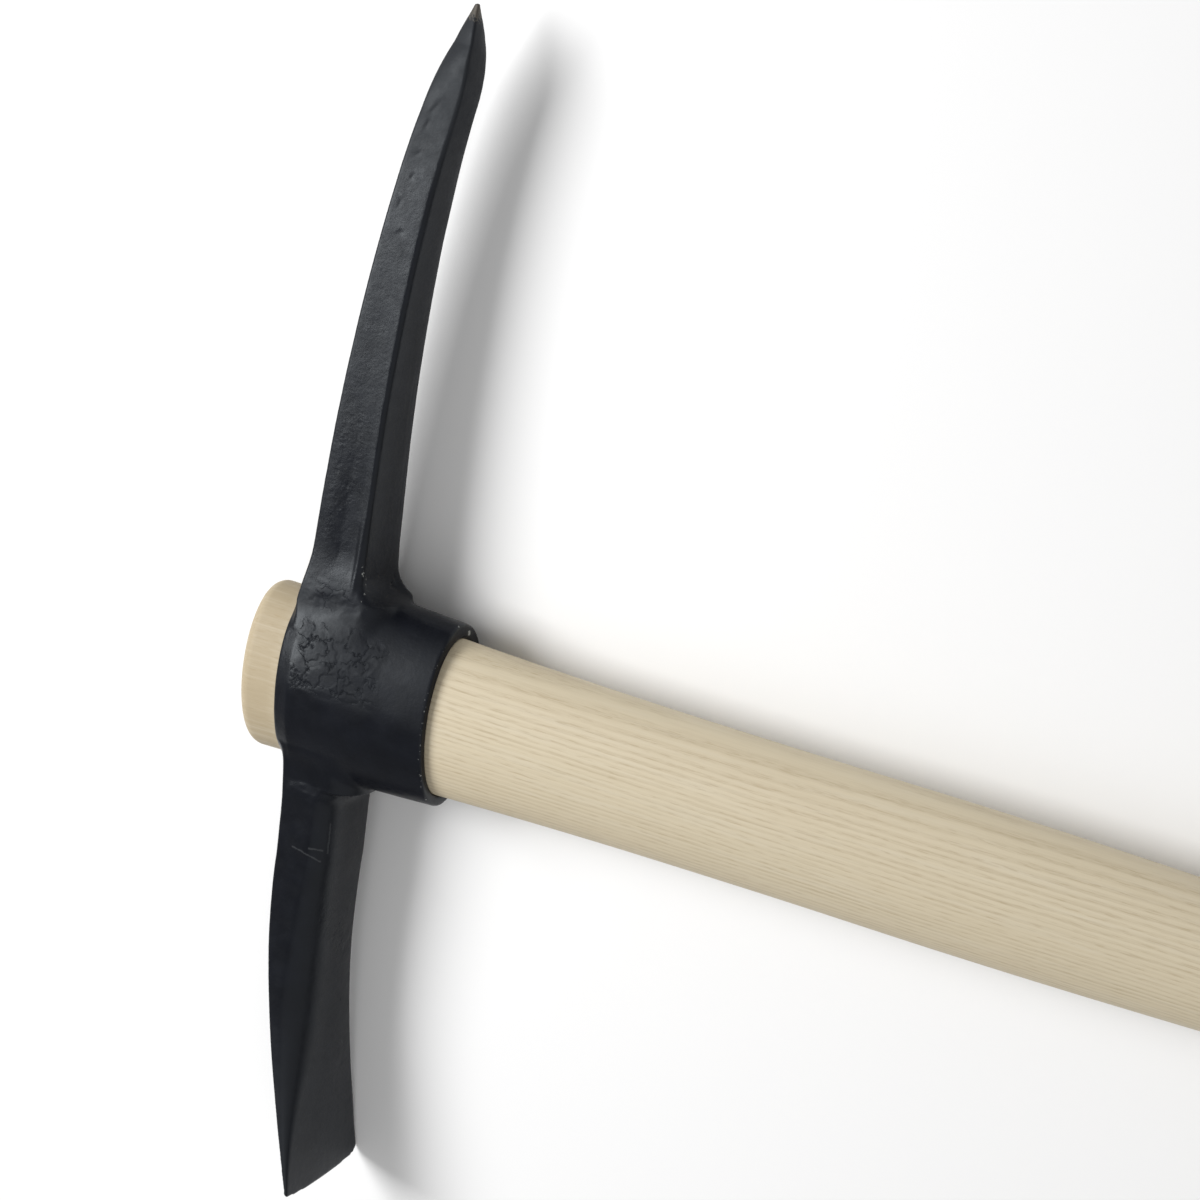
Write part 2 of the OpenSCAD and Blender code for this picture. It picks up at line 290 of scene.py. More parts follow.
def pick_field(m, x, y, z):
    """Near distance to the pick arm, with its side panels, ridge beads and ground facets."""
    centre, p = pick_line(m, y)
    t = np.minimum(1.0, (y - m.side) / (m.shoulder - m.side))
    depth = np.hypot(POINT_FLAT, mix(m.pick_depth, SHOULDER_DEPTH, t) * (1 - p**POINT_DEPTH_CURVE))
    width = np.hypot(POINT_FLAT, mix(m.pick_width, SHOULDER_WIDTH, t) * (1 - p**POINT_WIDTH_CURVE))
    low, high, half, rise = rooted(m, y, centre - depth / 2, centre + depth / 2, width / 2, PICK_BROW)
    # Panel: a shallow hollow, steep beside the grip-side ridge, with a round end at the root
    off = x - (centre + PANEL_LIFT)
    outline = corner(np.abs(off) - PANEL_HALF, PANEL_END - y, PANEL_ROUND)
    ramp = span(y, PANEL_RAMP, PANEL_DEEP, *PANEL_FADE)
    ramp = ramp * mix(1.0, PANEL_SHALLOW, ease(PANEL_DEEP, PANEL_FADE[0], y))
    inner = mix(-PANEL_HALF, -PANEL_STEEP, ease(-PANEL_TURN, PANEL_TURN, off))
    dip = m.panel * ramp * (1 - ease(inner, PANEL_RIM, outline))
    bead = BEAD * hump(x, high - rise - BEAD_SET, BEAD_WIDTH) * span(y, *BEAD_SPAN)
    soft = mix(GRIP_RIDGE, POINT_RIDGE, ease(*RIDGE_SPAN, y)) + rise * ROOT_GROWTH
    body = bar(x, z, low, swelled(high, half, depth, z), half - dip + bead, m.ridge, soft)
    # Ground facets on the crown-side ridges of the point
    grown = np.minimum((y - FACET_START) * FACET_GROWTH, depth)
    facet = np.cos(FACET_TILT) * (np.abs(z) - half) - np.sin(FACET_TILT) * (x - low - grown)
    body = meet(body, facet, FACET_ROUND)
    return meet(meet(body, y - m.pick_reach, TIP_ROUND), m.root - y, ROOT_END)


def blade_field(m, x, y, z):
    """Near distance to the blade arm, which spreads and thins to the cutting edge."""
    y = -y
    s = np.clip((y - BLADE_NECK) / (m.blade_reach - BLADE_NECK), 0.0, 1.0)
    depth = mix(EDGE_THICKNESS, m.blade_depth, (1 - s**THIN_CURVE) ** THIN_POWER)
    width = mix(m.blade_width, m.edge_width, ease(0.0, 1.0, s**SPREAD_CURVE))
    high = mix(m.blade_depth / 2, EDGE_DROP + EDGE_THICKNESS / 2, s) - 4 * BLADE_HOLLOW * s * (1 - s)
    low, high, half, rise = rooted(m, y, high - depth, high, width / 2, BLADE_BROW)
    near = mix(ROOT_RIDGE, NEAR_RIDGE, ease(*SOFT_SPAN, y))
    soft = np.where(z < 0, FAR_RIDGE, near) + rise * ROOT_GROWTH
    body = bar(x, z, low, swelled(high, half, depth, z), half, m.ridge, soft)
    end = m.blade_reach - EDGE_BOW * (z / (m.edge_width / 2)) ** 2
    outline = corner(y - end, np.abs(z) - half, np.where(z < 0, FAR_CORNER, NEAR_CORNER))
    return meet(meet(body, outline, EDGE_ROUND), m.root - y, ROOT_END)


def eye_field(m, x, y, z):
    """Near distance to the eye's outside, with its bevelled band and rounded lip."""
    wall = oval(y - EYE_SET, z, eye_half(m, x), cheek_half(m, x))
    face = crown_face(m, y)
    shown_band = 1 - ease(*BAND_FADE, np.abs(y - EYE_SET))
    wall = wall + BAND_SLOPE * shown_band * np.maximum(0.0, BAND - (x - face))
    return meet(meet(wall, x - m.back, LIP_ROUND), face - x, FACE_ROUND)


def head_field(m, x, y, z):
    """Near distance to the whole head."""
    solid = join(eye_field(m, x, y, z), pick_field(m, x, y, z), ROOT_SEAM)
    solid = join(solid, blade_field(m, x, y, z), ROOT_SEAM)
    return meet(solid, -oval(y, z, *opening(m, x)), HOLE_ROUND)


def sampled(field, low, high, step, slab=48):
    """A field sampled on a grid, slab by slab along Y."""
    axes = [np.arange(a, b + s, s) for a, b, s in zip(low, high, step)]
    out = np.empty([len(a) for a in axes], np.float32)
    x, z = axes[0][:, None, None], axes[2][None, None, :]
    for start in range(0, len(axes[1]), slab):
        y = axes[1][None, start:start + slab, None]
        out[:, start:start + slab] = field(x, y, z)
    return out


def surface_net(field, low, step):
    """Points and quads of a closed skin on the zero level of a sampled field."""
    # One point in each cell that the skin passes through, at the mean of its crossings
    inside = field < 0
    cells = [n - 1 for n in field.shape]
    count = np.zeros(cells, np.uint8)
    for o in itertools.product((0, 1), repeat=3):
        count += inside[tuple(slice(a, a + n) for a, n in zip(o, cells))]
    at = np.argwhere((count > 0) & (count < 8))
    number = np.full(cells, -1, np.int32)
    number[tuple(at.T)] = np.arange(len(at))
    total, hits = np.zeros((len(at), 3)), np.zeros(len(at))
    for axis in range(3):
        for o in itertools.product((0, 1), repeat=2):
            near = np.insert(np.array(o), axis, 0)
            a = field[tuple((at + near).T)].astype(float)
            b = field[tuple((at + near + np.eye(3, dtype=int)[axis]).T)].astype(float)
            crossed = (a < 0) != (b < 0)
            place = np.tile(near.astype(float), (len(at), 1))
            place[:, axis] = a / np.where(crossed, a - b, 1.0)
            total[crossed] += place[crossed]
            hits += crossed
    points = np.array(low) + np.array(step) * (at + total / hits[:, None])
    # One quad round each edge of the grid that the skin crosses, turned to face outwards
    quads = []
    ahead = np.eye(3, dtype=int)
    for axis in range(3):
        u, v = (axis + 1) % 3, (axis + 2) % 3
        shifted = inside[tuple(slice(1 if i == axis else 0, None) for i in range(3))]
        base = inside[tuple(slice(0, -1 if i == axis else None) for i in range(3))]
        edge = np.argwhere(base != shifted)
        within = (edge > 0) & (edge < cells)
        edge = edge[within[:, u] & within[:, v]]
        ring = [edge - ahead[u] - ahead[v], edge - ahead[v], edge, edge - ahead[u]]
        quad = np.stack([number[tuple(r.T)] for r in ring], axis=1)
        turned = ~inside[tuple(edge.T)]
        quad[turned] = quad[turned][:, ::-1]
        quads.append(quad)
    return points, np.concatenate(quads)


def plain_mesh(name, points, faces):
    """A smooth mesh from points and faces of equal size."""
    mesh = bpy.data.meshes.new(name)
    mesh.vertices.add(len(points))
    mesh.vertices.foreach_set("co", points.astype(np.float32).ravel())
    mesh.loops.add(faces.size)
    mesh.loops.foreach_set("vertex_index", faces.ravel().astype(np.int32))
    mesh.polygons.add(len(faces))
    mesh.polygons.foreach_set("loop_start", np.arange(0, faces.size, faces.shape[1], dtype=np.int32))
    mesh.polygons.foreach_set("use_smooth", np.ones(len(faces), bool))
    mesh.update(calc_edges=True)
    mesh.validate()
    return mesh


def place_of(mesh):
    """A mesh's points in millimetres from the eye's centre."""
    flat = np.empty(len(mesh.vertices) * 3, np.float32)
    mesh.vertices.foreach_get("co", flat)
    return (flat.reshape(-1, 3).astype(float) - np.array(ORIGIN)) / MM


def facing(mesh):
    """A mesh's normals at its points."""
    flat = np.empty(len(mesh.vertices) * 3, np.float32)
    mesh.vertex_normals.foreach_get("vector", flat)
    return flat.reshape(-1, 3).astype(float)


def set_masks(mesh, **masks):
    """Keeps masks from 0 to 1 on a mesh's points."""
    for name, values in masks.items():
        layer = mesh.attributes.get(name) or mesh.attributes.new(name, "FLOAT", "POINT")
        layer.data.foreach_set("value", np.clip(values, 0.0, 1.0).astype(np.float32))


# Marks of forging and use. Their places and sizes are in millimetres, as the head's are.


def forging_folds(m, p, n):
    """Height of the folds and dents that the dies and the hammer left, in millimetres."""
    x, y, z = p.T
    outside = ease(*OUTSIDE, outer_share(m, p))
    ripple = lattice_noise(p, (9.0, 40.0, 30.0), 3) * 1.7 + lattice_noise(p, 3.6, 4) * 0.7
    fine = lattice_noise(p, (2.4, 1.7, 2.4), 5)
    crease = lattice_noise(p, (5.0, 1.1, 4.0), 6)
    # Folds where the pick and the blade leave the eye
    w = y + ripple - FOLD_LEAN * x
    root = 0.12 * hump(w, 42.4, 2.6) - 0.12 * hump(w, 37.4, 2.4)
    root += (0.17 * fine + 0.07 * crease) * hump(w, FOLD_LINE, 6.5)
    w = -y + ripple
    neck = 0.15 * hump(w, 43.5, 2.2) - 0.25 * hump(w, 39.0, 2.0)
    neck += (0.16 * fine + 0.12 * crease) * hump(w, 42.0, 4.5)
    side = ease(6.0, 12.0, np.abs(z)) * ease(0.35, 0.75, np.abs(n[:, 2]))
    high = outside * side * span(x, -13.0, -8.0, 15.0, 22.0) * (root + neck)
    # Ridge along each cheek between its scaled and its smooth half
    cheek = outside * ease(14.0, 20.0, np.abs(z)) * span(x, -12.0, -6.0, 36.0, 50.0)
    uneven = lattice_noise(p, 8.0, 7)
    ridge = 0.2 * hump(y, 2.0 + 0.05 * x + 2.2 * uneven, 3.4)
    high += cheek * (ridge + 0.1 * uneven * ease(-12.0, 4.0, y))
    # Lines drawn along the pick's grip side
    drawn = 0.045 * lattice_noise(p, (1.1, 26.0, 1.1), 8)
    high += drawn * ease(0.6, 0.9, n[:, 0]) * span(y, 44.0, 52.0, 110.0, 190.0)
    for dent_x, dent_y, length, turn, depth in DENTS:
        u = (x - dent_x) * math.cos(turn) + (y - dent_y) * math.sin(turn)
        v = (y - dent_y) * math.cos(turn) - (x - dent_x) * math.sin(turn)
        high -= depth * hump(u, 0.0, length) * hump(v, 0.0, DENT_WIDTH) * ease(0.5, 0.9, n[:, 2])
    for place, width, height in CORNER_MARKS:
        high += height * hump(np.linalg.norm(p - np.array(place), axis=1), 0.0, width)
    return high


def pit_mask(m, p):
    """Where scale was hammered into the sides of the pick and one patch of the blade."""
    x, y, z = p.T
    centre, _ = pick_line(m, y)
    band = ease(3.0, 6.0, np.abs(z)) * span(x - centre, -9.5, -6.0, 0.5, 5.0)
    pick = 0.5 * band * span(y, 55.0, 75.0, 90.0, 150.0)
    along = y + 107.0
    patch = 1.5 * hump(along, 0.0, 15.0) * hump(z, 0.5 + along * 0.6, 8.0) * ease(6.0, 9.0, x)
    return np.maximum(pick, patch)


def plate_mask(m, p):
    """Where broken scale was pressed into the cheeks and the pick's roots."""
    x, y, z = p.T
    edge = lattice_noise(p, 6.0, 11) * 2.5
    lower = 2.5 + 0.05 * x + edge * 0.5
    area = span(x + edge, -9.5, -6.0, 27.0, 34.0) * ease(*OUTSIDE, outer_share(m, p))
    cheek = ease(lower - 0.7, lower + 1.6, y) * (1 - ease(25.0, 33.0, y + edge))
    cheek = cheek * ease(8.0, 13.0, np.abs(z))
    root = 0.6 * hump(y - FOLD_LEAN * x, 40.5, 4.5) * ease(6.0, 10.0, np.abs(z)) * (1 - ease(8.0, 14.0, x))
    return area * np.maximum(cheek, root)


def wear_mask(p):
    """Where the lacquer has worn off: the point and the blade's edge."""
    _, y, z = p.T
    tip = ease(264.0, 281.0, y)
    edge = 0.4 * ease(-217.0, -220.5, y) + 0.35 * ease(-208.0, -217.0, y) * ease(16.0, 26.0, z)
    return np.maximum(tip, edge)


def flake_mask(m, p):
    """Where the lacquer has chipped off the lip and off the ridge beside the panel."""
    x, y, z = p.T
    lip = 0.45 * ease(m.back - 2.3, m.back - 1.2, x) * ease(0.95, 0.98, outer_share(m, p))
    chip = ease(m.back - 2.0, m.back - 0.5, x) * hump(np.hypot(y - 34.7, z + 6.3), 0.0, 1.7)
    ridge = 0.5 * hump(x, 13.4 + 0.2 * (55.0 - y), 1.5)
    ridge = ridge * span(y, 39.0, 43.0, 56.0, 66.0) * ease(8.0, 11.0, z)
    return np.maximum(np.maximum(lip, chip), ridge)


def rub_and_sheen_mask(p, n):
    """Where the lacquer is lighter, partly from rubbing and partly as painted sheen: towards the blade's
    edge and on the sides of the ground point.
    """
    _, y, z = p.T
    # The blade's grip side is rubbed and given painted sheen most at the far corner
    blade = ease(-125.0, -215.0, y) * mix(1.0, ease(22.0, -18.0, z), ease(0.3, 0.8, n[:, 0]))
    # The ground point's sides are lighter, partly ground and partly a painted sheen
    point = 0.6 * ease(*GROUND, y) * ease(0.3, 0.8, np.abs(n[:, 2]))
    return np.maximum(blade, point)


def dull_mask(p):
    """Where the eye's cheeks, the pick's roots and the ground point are duller than the rest."""
    x, y, z = p.T
    cheek = ease(-4.0, 12.0, x) * span(y, -3.0, 5.0, 34.0, 42.0) * ease(8.0, 14.0, np.abs(z))
    root = hump(y - FOLD_LEAN * x, FOLD_LINE, 5.0) * ease(6.0, 10.0, np.abs(z))
    return np.maximum(np.maximum(cheek, root), ease(*GROUND, y))


# Node trees


class Term:
    """A value in a node tree that adds and multiplies like a number."""

    def __init__(self, tree, socket):
        self.tree, self.socket = tree, socket

    def do(self, operation, *others):
        """Result of a math node."""
        made = node(self.tree, "ShaderNodeMath", enumerate((self, *others)), operation=operation)
        return Term(self.tree, made.outputs[0])

    def __add__(self, other):
        return self.do("ADD", other)

    def __sub__(self, other):
        return self.do("SUBTRACT", other)

    def __rsub__(self, other):
        return self.do("MULTIPLY_ADD", -1.0, other)

    def __mul__(self, other):
        return self.do("MULTIPLY", other)

    def __truediv__(self, other):
        return self.do("DIVIDE", other)

    def __rtruediv__(self, other):
        return self.do("POWER", -1.0) * other

    __radd__, __rmul__ = __add__, __mul__

    def clamp(self, low, high):
        """The value held between two others."""
        return self.do("MAXIMUM", low).do("MINIMUM", high)

    def ease(self, start, end, low=0.0, high=1.0):
        """Smooth step between two places, from low to high."""
        values = enumerate((self, start, end, low, high))
        made = node(self.tree, "ShaderNodeMapRange", values, interpolation_type="SMOOTHSTEP")
        return Term(self.tree, made.outputs[0])


def plug(tree, slot, value):
    """Links a term or socket to a slot, or sets the slot's own value."""
    if isinstance(value, Term):
        value = value.socket
    if isinstance(value, bpy.types.NodeSocket):
        tree.links.new(value, slot)
    else:
        slot.default_value = value


def node(tree, kind, links=(), **settings):
    """A new node with its settings made and its inputs plugged."""
    made = tree.nodes.new(kind)
    for key, value in settings.items():
        setattr(made, key, value)
    for key, value in dict(links).items():
        plug(tree, made.inputs[key], value)
    return made


def noise(tree, vector, scale, detail=2.0, rough=0.5):
    """Cloudy noise from 0 to 1."""
    made = node(tree, "ShaderNodeTexNoise", {
        "Vector": vector, "Scale": scale, "Detail": detail, "Roughness": rough,
    })
    return Term(tree, made.outputs[0])


def vector_math(tree, operation, *values):
    """Result of a vector math node."""
    made = node(tree, "ShaderNodeVectorMath", enumerate(values), operation=operation)
    return made.outputs["Value" if operation in ("DOT_PRODUCT", "LENGTH") else "Vector"]


def scaled(tree, vector, factor):
    """A vector times one number."""
    made = node(tree, "ShaderNodeVectorMath", {0: vector, "Scale": factor}, operation="SCALE")
    return made.outputs["Vector"]


def stretched_noise(tree, vector, along, across, **options):
    """Noise drawn out along the handle, with its scales along and across it."""
    return noise(tree, vector_math(tree, "MULTIPLY", vector, (along, across, across)), 1.0, **options)


def bent_place(tree, where):
    """A place pushed about by noise, so that cracks run unevenly."""
    shift = node(tree, "ShaderNodeTexNoise", {"Vector": where, "Scale": 210.0, "Detail": 3.0})
    away = vector_math(tree, "SUBTRACT", shift.outputs["Color"], (0.5,) * 3)
    return vector_math(tree, "MULTIPLY_ADD", away, (CRACK_WANDER,) * 3, where)


def cell_pattern(tree, vector, size, feature):
    """Outputs of a pattern of cells of a given size."""
    made = node(tree, "ShaderNodeTexVoronoi", {"Vector": vector, "Scale": 1.0 / size}, feature=feature)
    return made.outputs


def blended(tree, share, a, b):
    """Colour between two colours."""
    # The colour sockets come after the node's sockets for numbers and vectors
    return node(tree, "ShaderNodeMix", {0: share, 6: a, 7: b}, data_type="RGBA").outputs[2]


def tree_of(name, kind, inputs, outputs):
    """A new node group with named sockets, its inputs as terms and its output node."""
    tree = bpy.data.node_groups.new(name, kind)
    for label, socket, default in inputs:
        made = tree.interface.new_socket(label, in_out="INPUT", socket_type=socket)
        if default is not None:
            made.default_value = default
    for label, socket in outputs:
        tree.interface.new_socket(label, in_out="OUTPUT", socket_type=socket)
    entry, exit_node = tree.nodes.new("NodeGroupInput"), tree.nodes.new("NodeGroupOutput")
    terms = {label: Term(tree, entry.outputs[label]) for label, _, _ in inputs}
    return tree, terms, exit_node


def mottle_group():
    """Soft uneven patches between two values."""
    tree, t, out = tree_of("Mottle", "ShaderNodeTree", (
        ("Vector", "NodeSocketVector", None), ("Scale", "NodeSocketFloat", 60.0),
        ("Low", "NodeSocketFloat", 0.0), ("High", "NodeSocketFloat", 1.0),
    ), (("Value", "NodeSocketFloat"),))
    patches = noise(tree, t["Vector"], t["Scale"], detail=4.0, rough=0.55)
    plug(tree, out.inputs["Value"], patches.ease(0.3, 0.7, t["Low"], t["High"]))
    return tree


def scratch_group():
    """Mask of one straight scratch between two points."""
    tree, t, out = tree_of("Scratch", "ShaderNodeTree", (
        ("Vector", "NodeSocketVector", None), ("Start", "NodeSocketVector", None),
        ("End", "NodeSocketVector", None), ("Width", "NodeSocketFloat", 0.0006),
    ), (("Mask", "NodeSocketFloat"),))
    run = vector_math(tree, "SUBTRACT", t["End"], t["Start"])
    way = vector_math(tree, "SUBTRACT", t["Vector"], t["Start"])
    share = Term(tree, vector_math(tree, "DOT_PRODUCT", way, run))
    share = (share / Term(tree, vector_math(tree, "DOT_PRODUCT", run, run))).clamp(0.0, 1.0)
    beside = vector_math(tree, "SUBTRACT", way, scaled(tree, run, share))
    off = Term(tree, vector_math(tree, "LENGTH", beside))
    broken = noise(tree, t["Vector"], 900.0)
    width = t["Width"] * broken.ease(0.3, 0.6, 0.35, 1.0)
    plug(tree, out.inputs["Mask"], (off / width).ease(1.0, 0.45))
    return tree


def placed(tree, group, links):
    """Result of a shader group that is placed in a material."""
    return Term(tree, node(tree, "ShaderNodeGroup", links, node_tree=group).outputs[0])


def new_material(name):
    """A material, its tree, its shader and the object's own coordinates."""
    material = bpy.data.materials.new(name)
    material.use_nodes = True
    tree = material.node_tree
    tree.nodes.clear()
    shader = tree.nodes.new("ShaderNodeBsdfPrincipled")
    out = tree.nodes.new("ShaderNodeOutputMaterial")
    tree.links.new(shader.outputs[0], out.inputs["Surface"])
    where = tree.nodes.new("ShaderNodeTexCoord").outputs["Object"]
    return material, tree, shader, where


def mask_term(tree, name):
    """A mask that is kept on the mesh's points."""
    return Term(tree, node(tree, "ShaderNodeAttribute", attribute_name=name).outputs["Fac"])


def bumped(tree, height, strength, distance, below=None):
    """Normal raised by a height, over another normal where there is one."""
    links = {"Height": height, "Strength": strength, "Distance": distance}
    if below is not None:
        links["Normal"] = below
    return node(tree, "ShaderNodeBump", links).outputs["Normal"]


def spot(x, y, z):
    """A place in millimetres from the eye's centre, in the frame."""
    return tuple(ORIGIN + Vector((x, y, z)) * MM)


def lacquer_material(finish, mottle, scratch):
    """Satin blue-black lacquer over a forging skin, worn to bare steel at its edges."""
    material, tree, shader, where = new_material("lacquered_steel")
    pits, plates = mask_term(tree, "pits"), mask_term(tree, "plates")
    rough_skin = noise(tree, where, 750.0, detail=5.0, rough=0.62)
    tint = placed(tree, mottle, {"Vector": where, "Scale": 95.0})
    lacquer = blended(tree, tint, (*finish.lacquer_dark, 1.0), (*finish.lacquer_light, 1.0))
    # Lighter lacquer where rubbed, partly a painted sheen on faces that would catch the lamps
    lacquer = blended(tree, mask_term(tree, "scuffs") * 0.7, lacquer, (*finish.lacquer_rub_and_sheen, 1.0))
    # Ragged edges where the lacquer has worn or chipped off
    ragged = (noise(tree, where, 1100.0, detail=4.0, rough=0.6) - 0.5) * 1.1
    bare = (mask_term(tree, "wear") + ragged).ease(0.56, 0.80)
    ragged = (noise(tree, where, 640.0, detail=3.0, rough=0.6) - 0.5) * 1.1
    chipped = (mask_term(tree, "flakes") + ragged).ease(0.58, 0.72)
    steel = blended(tree, rough_skin, (*finish.steel, 1.0), (*finish.steel_dark, 1.0))
    marks = None
    for path in SCRATCHES:
        for start, end in zip(path, path[1:]):
            made = placed(tree, scratch, {"Vector": where, "Start": spot(*start), "End": spot(*end)})
            marks = made if marks is None else marks.do("MAXIMUM", made)
    marked = blended(tree, marks * 0.19, lacquer, (*finish.scratch, 1.0))
    marked = blended(tree, chipped, marked, (*finish.chip, 1.0))
    plug(tree, shader.inputs["Base Color"], blended(tree, bare, marked, steel))
    plug(tree, shader.inputs["Metallic"], bare)
    patchy = placed(tree, mottle, {"Vector": where, "Scale": 160.0, "Low": 0.29, "High": 0.38})
    gloss = patchy + mask_term(tree, "dull") * 0.18 + plates * 0.10 + bare * 0.12
    plug(tree, shader.inputs["Roughness"], gloss)
    shader.inputs["Specular IOR Level"].default_value = 0.245
    shader.inputs["Specular Tint"].default_value = (0.9, 0.96, 1.0, 1.0)
    # Relief: fine skin, pebbles, cracks in the scale and the lacquer's own unevenness
    grain = bumped(tree, rough_skin, strength=0.35, distance=0.00018)
    pebbles = node(tree, "ShaderNodeTexVoronoi", {"Vector": where, "Scale": 950.0}, feature="SMOOTH_F1")
    uneven = placed(tree, mottle, {"Vector": where, "Scale": 210.0, "Low": 0.2, "High": 1.0})
    pebbled = Term(tree, pebbles.outputs["Distance"]) * uneven * (pits + plates * 0.42)
    pebbled = bumped(tree, pebbled, strength=0.34, distance=0.0004, below=grain)
    edges = cell_pattern(tree, bent_place(tree, where), PLATE_SIZE, "DISTANCE_TO_EDGE")["Distance"]
    broken = noise(tree, where, 160.0, detail=1.0).ease(0.36, 0.50)
    crack = Term(tree, edges).ease(0.004, 0.035) * plates * broken
    cracked = bumped(tree, crack, strength=0.5, distance=0.0004, below=pebbled)
    peel = bumped(tree, noise(tree, where, 280.0), strength=0.14, distance=0.0004, below=cracked)
    plug(tree, shader.inputs["Normal"], peel)
    return material


def ash_material(finish, mottle):
    """Pale ash cut so that the growth rings run as close lines along the handle."""
    material, tree, shader, where = new_material("ash")
    slow = stretched_noise(tree, where, 1.6, 14.0) - 0.5
    drift = stretched_noise(tree, where, 9.0, 60.0) - 0.5
    wobble = stretched_noise(tree, where, 70.0, 330.0) - 0.5
    parts = node(tree, "ShaderNodeSeparateXYZ", {0: where}).outputs
    bow = Term(tree, parts[2]) - ORIGIN.z
    level = Term(tree, parts[1]) - ORIGIN.y + bow * bow * 2.6 + bow * 0.10
    level = level + slow * 0.014 + drift * 0.0024 + wobble * 0.0009
    # The rings widen towards one side of the tree
    widening = finish.ring_widening
    turns = (level * widening + 1.0).do("LOGARITHM", math.e) / (widening * finish.ring_spacing)
    within = turns.do("FRACT")
    odd = node(tree, "ShaderNodeTexWhiteNoise", {"W": turns.do("FLOOR")}, noise_dimensions="1D")
    depth = Term(tree, odd.outputs["Value"]).ease(0.0, 1.0, 0.45, 1.0)
    line = within.ease(0.0, 0.26) * within.ease(0.86, 0.34)
    fibre = stretched_noise(tree, where, 30.0, 1700.0, detail=3.0, rough=0.65)
    streaks = stretched_noise(tree, where, 17.0, 420.0, rough=0.6)
    pores = stretched_noise(tree, where, 150.0, 3000.0, detail=1.0)
    dashes = pores.ease(0.52, 0.68) * line
    share = line * depth * fibre.ease(0.3, 0.7, 0.35, 1.0)
    crown = Term(tree, parts[0]).ease(*(ORIGIN.x - (EYE_FRONT + past) * MM for past in CROWN_DARKENING))
    wood = blended(tree, crown, (*finish.ash_pale, 1.0), (*finish.ash_crown, 1.0))
    patch = vector_math(tree, "MULTIPLY", where, (4.0, 26.0, 26.0))
    patch = placed(tree, mottle, {"Vector": patch, "Scale": 1.0})
    for amount, colour in (
        (share * 0.6, finish.ash_line), (fibre.ease(0.4, 0.7) * 0.16, finish.ash_line),
        (streaks.ease(0.45, 0.75) * 0.3, finish.ash_silk), (patch * 0.22, finish.ash_warm),
        (dashes * 0.4, finish.ash_pore),
    ):
        wood = blended(tree, amount, wood, (*colour, 1.0))
    plug(tree, shader.inputs["Base Color"], wood)
    plug(tree, shader.inputs["Roughness"], fibre.ease(0.2, 0.8, 0.5, 0.66))
    shader.inputs["Specular IOR Level"].default_value = 0.3
    relief = fibre * 0.5 - dashes - line * 0.3
    plug(tree, shader.inputs["Normal"], bumped(tree, relief, strength=0.3, distance=0.0002))
    return material


def raised(tree, geometry, height):
    """Geometry moved along its normals."""
    normal = node(tree, "GeometryNodeInputNormal").outputs[0]
    links = {"Geometry": geometry, "Offset": scaled(tree, normal, height)}
    return node(tree, "GeometryNodeSetPosition", links).outputs[0]


def close_tree(tree, out, geometry, material):
    """Ends a geometry tree in real geometry with its material."""
    real = node(tree, "GeometryNodeRealizeInstances", {"Geometry": geometry})
    done = node(tree, "GeometryNodeSetMaterial", {"Geometry": real.outputs[0], "Material": material})
    plug(tree, out.inputs["Geometry"], done.outputs[0])


def forging_skin_tree(material):
    """Waves, pits and broken scale over the head's surface."""
    depths = ("Wave depth", "Skin depth", "Pit depth", "Plate depth", "Crack depth")
    sizes = {"Wave size": 0.024, "Skin size": 0.0026, "Pit size": 0.0019, "Plate size": PLATE_SIZE}
    tree, t, out = tree_of("Forging skin", "GeometryNodeTree", [
        ("Geometry", "NodeSocketGeometry", None),
        *((label, "NodeSocketFloat", 0.0) for label in depths),
        *((label, "NodeSocketFloat", size) for label, size in sizes.items()),
    ], (("Geometry", "NodeSocketGeometry"),))
    where = node(tree, "GeometryNodeInputPosition").outputs[0]

    def named(name):
        """A mask of the mesh."""
        made = node(tree, "GeometryNodeInputNamedAttribute", {"Name": name}, data_type="FLOAT")
        return Term(tree, made.outputs["Attribute"])

    wave = (noise(tree, where, 1.0 / t["Wave size"], detail=1.0) - 0.5) * t["Wave depth"] * 2.0
    skin = noise(tree, where, 1.0 / t["Skin size"], detail=3.0, rough=0.6) - 0.5
    skin = skin * t["Skin depth"] * 2.0
    bent = bent_place(tree, where)
    spots = Term(tree, cell_pattern(tree, bent, t["Pit size"], "F1")["Distance"]).ease(0.62, 0.2)
    dotted = noise(tree, where, 330.0).ease(0.42, 0.6)
    pits = spots * dotted * named("pits") * t["Pit depth"]
    edges = cell_pattern(tree, bent, t["Plate size"], "DISTANCE_TO_EDGE")["Distance"]
    broken = noise(tree, where, 160.0, detail=1.0).ease(0.40, 0.52)
    crack = Term(tree, edges).ease(0.06, 0.01) * broken * t["Crack depth"]
    tone = cell_pattern(tree, bent, t["Plate size"], "F1")["Color"]
    tone = Term(tree, node(tree, "FunctionNodeSeparateColor", {0: tone}).outputs[0])
    crust = (noise(tree, where, 420.0, detail=4.0, rough=0.65) - 0.5) * t["Plate depth"] * 0.7
    plates = (tone * t["Plate depth"] - crack + crust) * named("plates")
    close_tree(tree, out, raised(tree, t["Geometry"], wave + skin - pits + plates), material)
    return tree


